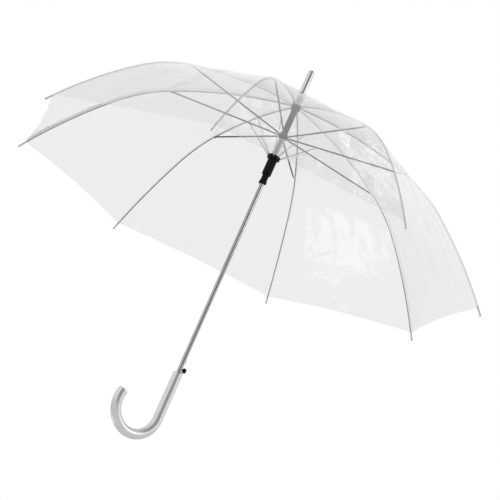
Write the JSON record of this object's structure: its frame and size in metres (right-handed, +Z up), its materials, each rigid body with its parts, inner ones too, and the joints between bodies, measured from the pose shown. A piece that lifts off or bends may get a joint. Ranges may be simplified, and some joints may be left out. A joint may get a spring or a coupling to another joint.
{
  "type": "clear stick umbrella",
  "caption": "Clear film dome umbrella with a steel automatic stick frame, metal ferrule and silver hook handle; the frame folds down along its shaft.",
  "frame": {"origin": "on the axis of the shaft, about half way down the straight grip, 46.7 mm below the rim of the handle", "axes": "+Z up the shaft to the ferrule, the hook of the handle curls towards +X, the push button faces -X, rib 1 points along +X"},
  "size_m": [0.9864, 0.9864, 0.8249],
  "materials": {
    "clear_film": "gloss",
    "shaft_steel": "satin",
    "frame_steel": "satin",
    "rib_steel": "satin",
    "wire_steel": "satin",
    "spring_steel": "polished",
    "ferrule_metal": "polished",
    "handle_silver": "satin",
    "black_plastic": "satin",
    "tip_plastic": "satin",
    "cap_plastic": "satin"
  },
  "bodies": {
    "shaft_assembly": {"shaft": "shaft_steel", "ferrule": "ferrule_metal", "canopy_cap": "cap_plastic", "crown": "black_plastic", "crown_wire": "wire_steel", "stop_sleeve": "black_plastic", "handle": "handle_silver", "handle_plug": "black_plastic", "canopy": "clear_film"},
    "hub_assembly": {"hub": "black_plastic", "hub_wire": "wire_steel", "main_spring": "spring_steel"},
    "runner_assembly": {"runner": "black_plastic", "runner_wire": "wire_steel"},
    "catch": {"catch_leaf": "spring_steel"},
    "button": {"push_button": "black_plastic"},
    "rib_inner_body_1": {"rib_inner_1": "rib_steel"},
    "rib_outer_body_1": {"rib_outer_1": "rib_steel", "rib_tip_1": "tip_plastic"},
    "stretcher_body_1": {"stretcher_1": "frame_steel"},
    "stay_body_1": {"stay_1": "frame_steel"},
    "rib_inner_body_2": {"rib_inner_2": "rib_steel"},
    "rib_outer_body_2": {"rib_outer_2": "rib_steel", "rib_tip_2": "tip_plastic"},
    "stretcher_body_2": {"stretcher_2": "frame_steel"},
    "stay_body_2": {"stay_2": "frame_steel"},
    "rib_inner_body_3": {"rib_inner_3": "rib_steel"},
    "rib_outer_body_3": {"rib_outer_3": "rib_steel", "rib_tip_3": "tip_plastic"},
    "stretcher_body_3": {"stretcher_3": "frame_steel"},
    "stay_body_3": {"stay_3": "frame_steel"},
    "rib_inner_body_4": {"rib_inner_4": "rib_steel"},
    "rib_outer_body_4": {"rib_outer_4": "rib_steel", "rib_tip_4": "tip_plastic"},
    "stretcher_body_4": {"stretcher_4": "frame_steel"},
    "stay_body_4": {"stay_4": "frame_steel"},
    "rib_inner_body_5": {"rib_inner_5": "rib_steel"},
    "rib_outer_body_5": {"rib_outer_5": "rib_steel", "rib_tip_5": "tip_plastic"},
    "stretcher_body_5": {"stretcher_5": "frame_steel"},
    "stay_body_5": {"stay_5": "frame_steel"},
    "rib_inner_body_6": {"rib_inner_6": "rib_steel"},
    "rib_outer_body_6": {"rib_outer_6": "rib_steel", "rib_tip_6": "tip_plastic"},
    "stretcher_body_6": {"stretcher_6": "frame_steel"},
    "stay_body_6": {"stay_6": "frame_steel"},
    "rib_inner_body_7": {"rib_inner_7": "rib_steel"},
    "rib_outer_body_7": {"rib_outer_7": "rib_steel", "rib_tip_7": "tip_plastic"},
    "stretcher_body_7": {"stretcher_7": "frame_steel"},
    "stay_body_7": {"stay_7": "frame_steel"},
    "rib_inner_body_8": {"rib_inner_8": "rib_steel"},
    "rib_outer_body_8": {"rib_outer_8": "rib_steel", "rib_tip_8": "tip_plastic"},
    "stretcher_body_8": {"stretcher_8": "frame_steel"},
    "stay_body_8": {"stay_8": "frame_steel"}
  },
  "joints": [
    {"name": "runner_slide", "type": "slide", "parent": "shaft_assembly", "child": "runner_assembly", "axis": [0, 0, -1], "range_m": [0, 0.3856], "stiffness_N_per_m": 7, "springref_m": -0.301, "deforming": ["main_spring", "canopy"]},
    {"name": "hub_slide", "type": "slide", "parent": "shaft_assembly", "child": "hub_assembly", "axis": [0, 0, -1], "range_m": [0, 0.42078]},
    {"name": "rib_fold_1", "type": "hinge", "parent": "shaft_assembly", "child": "rib_inner_body_1", "pos_m": [0.0072, 0, 0.6335], "axis": [0, 1, 0], "range_deg": [0, 76.06]},
    {"name": "rib_flex_1", "type": "hinge", "parent": "rib_inner_body_1", "child": "rib_outer_body_1", "pos_m": [0.24739, 0, 0.57596], "axis": [0, 1, 0], "range_deg": [-29.78, 0]},
    {"name": "stretcher_fold_1", "type": "hinge", "parent": "hub_assembly", "child": "stretcher_body_1", "pos_m": [0.0063, 0.0031, 0.5658], "axis": [0, 1, 0], "range_deg": [-86.89, 0]},
    {"name": "stay_fold_1", "type": "hinge", "parent": "runner_assembly", "child": "stay_body_1", "pos_m": [0.0114, 0.00095, 0.5179], "axis": [0, 1, 0], "range_deg": [-53.59, 0]},
    {"name": "rib_fold_2", "type": "hinge", "parent": "shaft_assembly", "child": "rib_inner_body_2", "pos_m": [0.00509, 0.00509, 0.6335], "axis": [-0.7071, 0.7071, 0], "range_deg": [0, 76.06]},
    {"name": "rib_flex_2", "type": "hinge", "parent": "rib_inner_body_2", "child": "rib_outer_body_2", "pos_m": [0.17493, 0.17493, 0.57596], "axis": [-0.7071, 0.7071, 0], "range_deg": [-29.78, 0]},
    {"name": "stretcher_fold_2", "type": "hinge", "parent": "hub_assembly", "child": "stretcher_body_2", "pos_m": [0.00226, 0.00665, 0.5658], "axis": [-0.7071, 0.7071, 0], "range_deg": [-86.89, 0]},
    {"name": "stay_fold_2", "type": "hinge", "parent": "runner_assembly", "child": "stay_body_2", "pos_m": [0.00739, 0.00873, 0.5179], "axis": [-0.7071, 0.7071, 0], "range_deg": [-53.59, 0]},
    {"name": "rib_fold_3", "type": "hinge", "parent": "shaft_assembly", "child": "rib_inner_body_3", "pos_m": [0, 0.0072, 0.6335], "axis": [-1, 0, 0], "range_deg": [0, 76.06]},
    {"name": "rib_flex_3", "type": "hinge", "parent": "rib_inner_body_3", "child": "rib_outer_body_3", "pos_m": [0, 0.24739, 0.57596], "axis": [-1, 0, 0], "range_deg": [-29.78, 0]},
    {"name": "stretcher_fold_3", "type": "hinge", "parent": "hub_assembly", "child": "stretcher_body_3", "pos_m": [-0.0031, 0.0063, 0.5658], "axis": [-1, 0, 0], "range_deg": [-86.89, 0]},
    {"name": "stay_fold_3", "type": "hinge", "parent": "runner_assembly", "child": "stay_body_3", "pos_m": [-0.00095, 0.0114, 0.5179], "axis": [-1, 0, 0], "range_deg": [-53.59, 0]},
    {"name": "rib_fold_4", "type": "hinge", "parent": "shaft_assembly", "child": "rib_inner_body_4", "pos_m": [-0.00509, 0.00509, 0.6335], "axis": [-0.7071, -0.7071, 0], "range_deg": [0, 76.06]},
    {"name": "rib_flex_4", "type": "hinge", "parent": "rib_inner_body_4", "child": "rib_outer_body_4", "pos_m": [-0.17493, 0.17493, 0.57596], "axis": [-0.7071, -0.7071, 0], "range_deg": [-29.78, 0]},
    {"name": "stretcher_fold_4", "type": "hinge", "parent": "hub_assembly", "child": "stretcher_body_4", "pos_m": [-0.00665, 0.00226, 0.5658], "axis": [-0.7071, -0.7071, 0], "range_deg": [-86.89, 0]},
    {"name": "stay_fold_4", "type": "hinge", "parent": "runner_assembly", "child": "stay_body_4", "pos_m": [-0.00873, 0.00739, 0.5179], "axis": [-0.7071, -0.7071, 0], "range_deg": [-53.59, 0]},
    {"name": "rib_fold_5", "type": "hinge", "parent": "shaft_assembly", "child": "rib_inner_body_5", "pos_m": [-0.0072, 0, 0.6335], "axis": [0, -1, 0], "range_deg": [0, 76.06]},
    {"name": "rib_flex_5", "type": "hinge", "parent": "rib_inner_body_5", "child": "rib_outer_body_5", "pos_m": [-0.24739, 0, 0.57596], "axis": [0, -1, 0], "range_deg": [-29.78, 0]},
    {"name": "stretcher_fold_5", "type": "hinge", "parent": "hub_assembly", "child": "stretcher_body_5", "pos_m": [-0.0063, -0.0031, 0.5658], "axis": [0, -1, 0], "range_deg": [-86.89, 0]},
    {"name": "stay_fold_5", "type": "hinge", "parent": "runner_assembly", "child": "stay_body_5", "pos_m": [-0.0114, -0.00095, 0.5179], "axis": [0, -1, 0], "range_deg": [-53.59, 0]},
    {"name": "rib_fold_6", "type": "hinge", "parent": "shaft_assembly", "child": "rib_inner_body_6", "pos_m": [-0.00509, -0.00509, 0.6335], "axis": [0.7071, -0.7071, 0], "range_deg": [0, 76.06]},
    {"name": "rib_flex_6", "type": "hinge", "parent": "rib_inner_body_6", "child": "rib_outer_body_6", "pos_m": [-0.17493, -0.17493, 0.57596], "axis": [0.7071, -0.7071, 0], "range_deg": [-29.78, 0]},
    {"name": "stretcher_fold_6", "type": "hinge", "parent": "hub_assembly", "child": "stretcher_body_6", "pos_m": [-0.00226, -0.00665, 0.5658], "axis": [0.7071, -0.7071, 0], "range_deg": [-86.89, 0]},
    {"name": "stay_fold_6", "type": "hinge", "parent": "runner_assembly", "child": "stay_body_6", "pos_m": [-0.00739, -0.00873, 0.5179], "axis": [0.7071, -0.7071, 0], "range_deg": [-53.59, 0]},
    {"name": "rib_fold_7", "type": "hinge", "parent": "shaft_assembly", "child": "rib_inner_body_7", "pos_m": [0, -0.0072, 0.6335], "axis": [1, 0, 0], "range_deg": [0, 76.06]},
    {"name": "rib_flex_7", "type": "hinge", "parent": "rib_inner_body_7", "child": "rib_outer_body_7", "pos_m": [0, -0.24739, 0.57596], "axis": [1, 0, 0], "range_deg": [-29.78, 0]},
    {"name": "stretcher_fold_7", "type": "hinge", "parent": "hub_assembly", "child": "stretcher_body_7", "pos_m": [0.0031, -0.0063, 0.5658], "axis": [1, 0, 0], "range_deg": [-86.89, 0]},
    {"name": "stay_fold_7", "type": "hinge", "parent": "runner_assembly", "child": "stay_body_7", "pos_m": [0.00095, -0.0114, 0.5179], "axis": [1, 0, 0], "range_deg": [-53.59, 0]},
    {"name": "rib_fold_8", "type": "hinge", "parent": "shaft_assembly", "child": "rib_inner_body_8", "pos_m": [0.00509, -0.00509, 0.6335], "axis": [0.7071, 0.7071, 0], "range_deg": [0, 76.06]},
    {"name": "rib_flex_8", "type": "hinge", "parent": "rib_inner_body_8", "child": "rib_outer_body_8", "pos_m": [0.17493, -0.17493, 0.57596], "axis": [0.7071, 0.7071, 0], "range_deg": [-29.78, 0]},
    {"name": "stretcher_fold_8", "type": "hinge", "parent": "hub_assembly", "child": "stretcher_body_8", "pos_m": [0.00665, -0.00226, 0.5658], "axis": [0.7071, 0.7071, 0], "range_deg": [-86.89, 0]},
    {"name": "stay_fold_8", "type": "hinge", "parent": "runner_assembly", "child": "stay_body_8", "pos_m": [0.00873, -0.00739, 0.5179], "axis": [0.7071, 0.7071, 0], "range_deg": [-53.59, 0]},
    {"name": "push_button_slide", "type": "slide", "parent": "shaft_assembly", "child": "button", "axis": [1, 0, 0], "range_m": [0, 0.00185], "stiffness_N_per_m": 600},
    {"name": "catch_pivot", "type": "hinge", "parent": "shaft_assembly", "child": "catch", "pos_m": [-0.0032, 0, 0.004], "axis": [0, 1, 0], "range_deg": [0, 2.05]}
  ],
  "couplings": [
    {"joint": "hub_slide", "follows": "runner_slide", "ratio": 1.0907},
    {"joint": "rib_fold_1", "follows": "runner_slide", "rad_per_m": 3.4408},
    {"joint": "rib_flex_1", "follows": "runner_slide", "rad_per_m": -1.3472},
    {"joint": "stretcher_fold_1", "follows": "runner_slide", "rad_per_m": -3.9311},
    {"joint": "stay_fold_1", "follows": "runner_slide", "rad_per_m": -2.4244},
    {"joint": "rib_fold_2", "follows": "runner_slide", "rad_per_m": 3.4408},
    {"joint": "rib_flex_2", "follows": "runner_slide", "rad_per_m": -1.3472},
    {"joint": "stretcher_fold_2", "follows": "runner_slide", "rad_per_m": -3.9311},
    {"joint": "stay_fold_2", "follows": "runner_slide", "rad_per_m": -2.4244},
    {"joint": "rib_fold_3", "follows": "runner_slide", "rad_per_m": 3.4408},
    {"joint": "rib_flex_3", "follows": "runner_slide", "rad_per_m": -1.3472},
    {"joint": "stretcher_fold_3", "follows": "runner_slide", "rad_per_m": -3.9311},
    {"joint": "stay_fold_3", "follows": "runner_slide", "rad_per_m": -2.4244},
    {"joint": "rib_fold_4", "follows": "runner_slide", "rad_per_m": 3.4408},
    {"joint": "rib_flex_4", "follows": "runner_slide", "rad_per_m": -1.3472},
    {"joint": "stretcher_fold_4", "follows": "runner_slide", "rad_per_m": -3.9311},
    {"joint": "stay_fold_4", "follows": "runner_slide", "rad_per_m": -2.4244},
    {"joint": "rib_fold_5", "follows": "runner_slide", "rad_per_m": 3.4408},
    {"joint": "rib_flex_5", "follows": "runner_slide", "rad_per_m": -1.3472},
    {"joint": "stretcher_fold_5", "follows": "runner_slide", "rad_per_m": -3.9311},
    {"joint": "stay_fold_5", "follows": "runner_slide", "rad_per_m": -2.4244},
    {"joint": "rib_fold_6", "follows": "runner_slide", "rad_per_m": 3.4408},
    {"joint": "rib_flex_6", "follows": "runner_slide", "rad_per_m": -1.3472},
    {"joint": "stretcher_fold_6", "follows": "runner_slide", "rad_per_m": -3.9311},
    {"joint": "stay_fold_6", "follows": "runner_slide", "rad_per_m": -2.4244},
    {"joint": "rib_fold_7", "follows": "runner_slide", "rad_per_m": 3.4408},
    {"joint": "rib_flex_7", "follows": "runner_slide", "rad_per_m": -1.3472},
    {"joint": "stretcher_fold_7", "follows": "runner_slide", "rad_per_m": -3.9311},
    {"joint": "stay_fold_7", "follows": "runner_slide", "rad_per_m": -2.4244},
    {"joint": "rib_fold_8", "follows": "runner_slide", "rad_per_m": 3.4408},
    {"joint": "rib_flex_8", "follows": "runner_slide", "rad_per_m": -1.3472},
    {"joint": "stretcher_fold_8", "follows": "runner_slide", "rad_per_m": -3.9311},
    {"joint": "stay_fold_8", "follows": "runner_slide", "rad_per_m": -2.4244},
    {"joint": "catch_pivot", "follows": "push_button_slide", "rad_per_m": 19.268}
  ]
}
